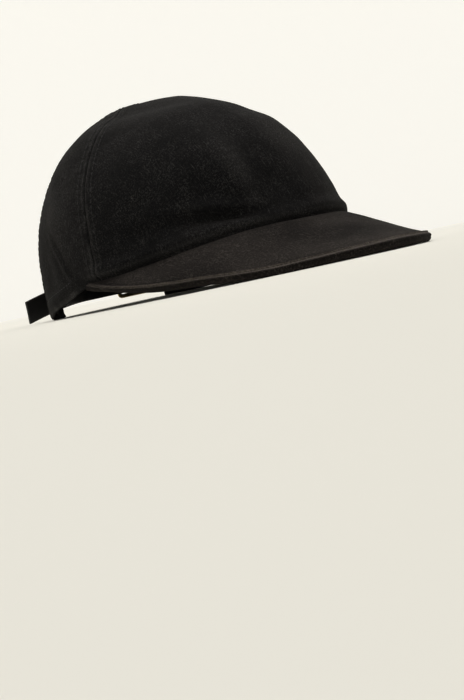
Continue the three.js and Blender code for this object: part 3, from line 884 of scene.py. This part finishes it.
tab_path = []
for step in range(TAB_STEPS + 1):
    x = mix(NOTCH_HALF + STRAP_SEWN, BUCKLE_ACROSS + BESIDE_BUCKLE, step / TAB_STEPS)
    tab_path.append(on_back(x, STRAP_INSIDE))
tab_path += half_turn(1)
for step in range(TAB_STEPS + 1):
    x = mix(BUCKLE_ACROSS + BESIDE_BUCKLE, NOTCH_HALF + STRAP_SEWN, step / TAB_STEPS)
    tab_path.append(on_back(x, STRAP_INSIDE + 2 * TURN_RADIUS))
cut_leather("buckle_tab_leather", tab_path, lambda index: STRAP_LOW, strap_leather, "buckle_tab")

tab_rows = bmesh.new()
tab_face = STRAP_INSIDE + 2 * TURN_RADIUS + STRAP_THICK / 2
near = BUCKLE_ACROSS + BESIDE_BUCKLE + SQUARE_FROM_BUCKLE
far = NOTCH_HALF + STRAP_SEWN - SQUARE_IN
bottom = STRAP_LOW + SQUARE_IN
top = STRAP_LOW + STRAP_WIDE - SQUARE_IN
corners = ((near, bottom), (far, bottom), (far, top), (near, top), (near, bottom))
for start, end in zip(corners, corners[1:]):
    row = []
    for step in range(ROW_STEPS + 1):
        at = on_back(mix(start[0], end[0], step / ROW_STEPS), tab_face)
        row.append(Vector((at.x, at.y, mix(start[1], end[1], step / ROW_STEPS))))
    sew_row(tab_rows, row)
for beside in HIDDEN_ROWS:
    turn = back_turn(-NOTCH_HALF - beside)
    row = []
    for step in range(ROW_STEPS + 1):
        row.append(thread_point(turn, rise_at(turn, mix(bottom, top, step / ROW_STEPS))))
    sew_row(tab_rows, row)
finish_piece(tab_rows, "strap_and_tab_stitching", thread, [])


# The buckle is a flat slide of cast brass with an aged finish: a rounded frame and a middle bar. The
# brass has gone dark on its faces and in the windows, and is rubbed bright along the outer edges.
BUCKLE_TALL = 0.0186
BUCKLE_THICK = 0.0022
BUCKLE_PLAY = 0.0008
BUCKLE_RAIL = (BUCKLE_TALL - STRAP_WIDE - BUCKLE_PLAY) / 2
BUCKLE_CORNER = 0.0024
BUCKLE_ROUNDING = 0.0006
BUCKLE_SHARP_TURN = 0.9
BUCKLE_WEAR = {"from": 0.9, "full_to": 0.0009, "none_from": 0.0011}
TINY = 1e-6

brass = bpy.data.materials.new("aged brass")
brass.use_nodes = True
tree = brass.node_tree
shader = tree.nodes["Principled BSDF"]
shader.inputs["Metallic"].default_value = 1.0
place = add_node(tree, "ShaderNodeTexCoord", {}).outputs["Object"]
tarnish = add_node(tree, "ShaderNodeTexNoise", {"Vector": place, "Scale": 420.0, "Detail": 5.0})
edges = add_node(tree, "ShaderNodeAttribute", {}, attribute_name="paling").outputs["Fac"]
dull = maths(tree, "MULTIPLY", tarnish.outputs["Fac"], 0.35)
share = maths(tree, "ADD", dull, maths(tree, "MULTIPLY", edges, 0.8))
colour = add_node(
    tree, "ShaderNodeMix", {"Factor": share, "A": (0.035, 0.028, 0.018, 1), "B": (0.55, 0.42, 0.2, 1)},
    data_type="RGBA",
)
tree.links.new(colour.outputs["Result"], shader.inputs["Base Color"])
gloss = add_node(
    tree, "ShaderNodeMapRange", {"Value": tarnish.outputs["Fac"], "To Min": 0.25, "To Max": 0.5}
)
tree.links.new(gloss.outputs["Result"], shader.inputs["Roughness"])
bump = add_node(
    tree, "ShaderNodeBump", {"Height": tarnish.outputs["Fac"], "Strength": 0.15, "Distance": 0.0001}
)
tree.links.new(bump.outputs["Normal"], shader.inputs["Normal"])

buckle = bmesh.new()
bmesh.ops.create_grid(buckle, x_segments=2, y_segments=1, size=0.5)
for vert in buckle.verts:
    vert.co.x *= BUCKLE_LONG
    vert.co.y *= BUCKLE_TALL
windows = buckle.faces[:]
bmesh.ops.inset_individual(buckle, faces=windows, thickness=BUCKLE_BAR / 4)
near = BUCKLE_BAR / 2
far = BUCKLE_LONG / 2 - BUCKLE_BAR
for window in windows:
    for vert in window.verts:
        inner = abs(vert.co.x) < BUCKLE_LONG / 4
        vert.co.x = math.copysign(near if inner else far, vert.co.x)
        vert.co.y = math.copysign(BUCKLE_TALL / 2 - BUCKLE_RAIL, vert.co.y)
bmesh.ops.delete(buckle, geom=windows, context="FACES")
buckle.normal_update()
bmesh.ops.solidify(buckle, geom=buckle.faces[:], thickness=BUCKLE_THICK)
for vert in buckle.verts:
    vert.co.z += BUCKLE_THICK / 2
posts = []
for edge in buckle.edges:
    first, last = edge.verts
    at_end = abs(abs(first.co.x) - BUCKLE_LONG / 2) < TINY
    at_rail = abs(abs(first.co.y) - BUCKLE_TALL / 2) < TINY
    if at_end and at_rail and abs(first.co.z - last.co.z) > BUCKLE_THICK / 2:
        posts.append(edge)
bmesh.ops.bevel(
    buckle, geom=posts, offset=BUCKLE_CORNER, offset_type="OFFSET", segments=6, profile=0.5, affect="EDGES",
    material=-1,
)
buckle.normal_update()
round_edges(buckle, BUCKLE_SHARP_TURN, BUCKLE_ROUNDING, 4)
paling_layer = buckle.verts.layers.float.new("paling")
for vert in buckle.verts:
    outside = max(abs(vert.co.x) / (BUCKLE_LONG / 2), abs(vert.co.y) / (BUCKLE_TALL / 2))
    on_face = smooth(abs(vert.co.z), BUCKLE_WEAR["full_to"], BUCKLE_WEAR["none_from"])
    vert[paling_layer] = smooth(outside, BUCKLE_WEAR["from"], 1.0) * (1 - on_face)
seat = Matrix((
    (buckle_way.x, 0, buckle_way.y, buckle_middle.x),
    (buckle_way.y, 0, -buckle_way.x, buckle_middle.y),
    (0, 1, 0, STRAP_LOW + STRAP_WIDE / 2),
    (0, 0, 0, 1),
))
bmesh.ops.transform(buckle, matrix=seat, verts=buckle.verts[:])
bmesh.ops.recalc_face_normals(buckle, faces=buckle.faces[:])
finish_piece(buckle, "buckle_brass", brass, ["buckle"])


# The stage is a pale floor that curves up all round into a wall, lit from above by a large soft light
# and from two sides by weaker ones. The paper glows a little where the light above it fades.
FLOOR_FLAT = 2.4
FLOOR_RADIUS = 4.2
WALL_HIGH = 2.0
CURVE_STEPS = 12
FLOOR_STEPS = 96
LAMP_HIGH = 1.6
LAMP_SHARE = 0.53
LIGHT_COLOUR = (1.0, 0.985, 0.965)

floor_bm = bmesh.new()
profile = [floor_bm.verts.new((0, 0, 0)), floor_bm.verts.new((FLOOR_FLAT, 0, 0))]
bend = FLOOR_RADIUS - FLOOR_FLAT
for step in range(1, CURVE_STEPS + 1):
    angle = step / CURVE_STEPS * math.pi / 2
    out, rise = bend * math.sin(angle), bend * (1 - math.cos(angle))
    profile.append(floor_bm.verts.new((FLOOR_FLAT + out, 0, rise)))
profile.append(floor_bm.verts.new((FLOOR_RADIUS, 0, WALL_HIGH)))
edges = [floor_bm.edges.new(pair) for pair in zip(profile, profile[1:])]
bmesh.ops.spin(
    floor_bm, geom=profile + edges, axis=(0, 0, 1), cent=(0, 0, 0), angle=math.tau, steps=FLOOR_STEPS,
    use_merge=True,
)
bmesh.ops.remove_doubles(floor_bm, verts=floor_bm.verts[:], dist=1e-5)
bmesh.ops.recalc_face_normals(floor_bm, faces=floor_bm.faces[:])
for face in floor_bm.faces:
    face.smooth = True
floor_mesh = bpy.data.meshes.new("floor")
floor_bm.to_mesh(floor_mesh)
floor_bm.free()
floor = bpy.data.objects.new("floor", floor_mesh)
bpy.context.scene.collection.objects.link(floor)
paper = bpy.data.materials.new("pale paper")
paper.use_nodes = True
paper_shader = paper.node_tree.nodes["Principled BSDF"]
paper_shader.inputs["Base Color"].default_value = (0.68, 0.665, 0.60, 1)
paper_shader.inputs["Emission Color"].default_value = (1.0, 0.99, 0.965, 1)
tree = paper.node_tree
paper_place = add_node(tree, "ShaderNodeTexCoord", {}).outputs["Object"]
away = add_node(tree, "ShaderNodeVectorMath", {0: paper_place}, operation="LENGTH").outputs["Value"]
squared = maths(tree, "POWER", maths(tree, "DIVIDE", away, LAMP_HIGH), 2.0)
lit = maths(tree, "POWER", maths(tree, "ADD", squared, 1.0), -2.0)
glow = maths(tree, "MULTIPLY", maths(tree, "POWER", maths(tree, "SUBTRACT", 1.0, lit), 2.0), LAMP_SHARE)
tree.links.new(glow, paper_shader.inputs["Emission Strength"])
paper_shader.inputs["Roughness"].default_value = 0.9
floor_mesh.materials.append(paper)

world = bpy.data.worlds.new("studio")
bpy.context.scene.world = world
world.use_nodes = True
world.node_tree.nodes["Background"].inputs["Color"].default_value = (*LIGHT_COLOUR, 1)
world.node_tree.nodes["Background"].inputs["Strength"].default_value = 0.45

# Lights: name, place, aim, size, watts.
LIGHTS = (
    ("soft light above", (0.1, 0.25, LAMP_HIGH), (0, 0.02, 0.05), 0.9, 20),
    ("fill at the right front", (-1.3, -1.3, 0.7), (0, 0, 0.05), 1.2, 3),
    ("fill at the left back", (1.2, 1.2, 1.2), (0, 0, 0.05), 1.2, 1.6),
)
for name, place, aim, size, watts in LIGHTS:
    lamp = bpy.data.lights.new(name, "AREA")
    lamp.shape = "DISK"
    lamp.size = size
    lamp.energy = watts
    lamp.color = LIGHT_COLOUR
    holder = bpy.data.objects.new(name, lamp)
    holder.location = place
    holder.rotation_euler = (Vector(aim) - Vector(place)).to_track_quat("-Z", "Y").to_euler()
    bpy.context.scene.collection.objects.link(holder)


# The camera looks at the wearer's front right from just above the floor. It is rolled as the
# photograph is, so that the cap keeps its tilt in the picture.
AZIMUTH = 36.6
ELEVATION = -2.94
ROLL = -12.2
DISTANCE = 0.82
FOCAL_PIXELS = 1520.0
PICTURE = (464, 700)
AIM = Vector((0, MIDDLE_Y, 0.050))
AIM_PIXEL = (181.2, 197.8)
SENSOR = 36.0

azimuth, elevation = math.radians(AZIMUTH), math.radians(ELEVATION)
back = Vector((
    -math.sin(azimuth) * math.cos(elevation), -math.cos(azimuth) * math.cos(elevation), math.sin(elevation)
))
right = (-back).cross(Vector((0, 0, 1))).normalized()
up = right.cross(-back)
level = Matrix((right, up, back)).transposed()
rolled = level @ Matrix.Rotation(math.radians(ROLL), 3, "Z")
ray = Vector((
    (AIM_PIXEL[0] - PICTURE[0] / 2) / FOCAL_PIXELS, (PICTURE[1] / 2 - AIM_PIXEL[1]) / FOCAL_PIXELS, -1
)).normalized()
turned = rolled @ ray.rotation_difference(Vector((0, 0, -1))).to_matrix()
camera_data = bpy.data.cameras.new("camera")
camera_data.sensor_width = SENSOR
camera_data.lens = FOCAL_PIXELS * SENSOR / max(PICTURE)
camera_data.clip_start = 0.002
camera = bpy.data.objects.new("camera", camera_data)
camera.matrix_world = Matrix.Translation(AIM + back * DISTANCE) @ turned.to_4x4()
bpy.context.scene.collection.objects.link(camera)
bpy.context.scene.camera = camera
bpy.context.scene.view_settings.view_transform = "Standard"
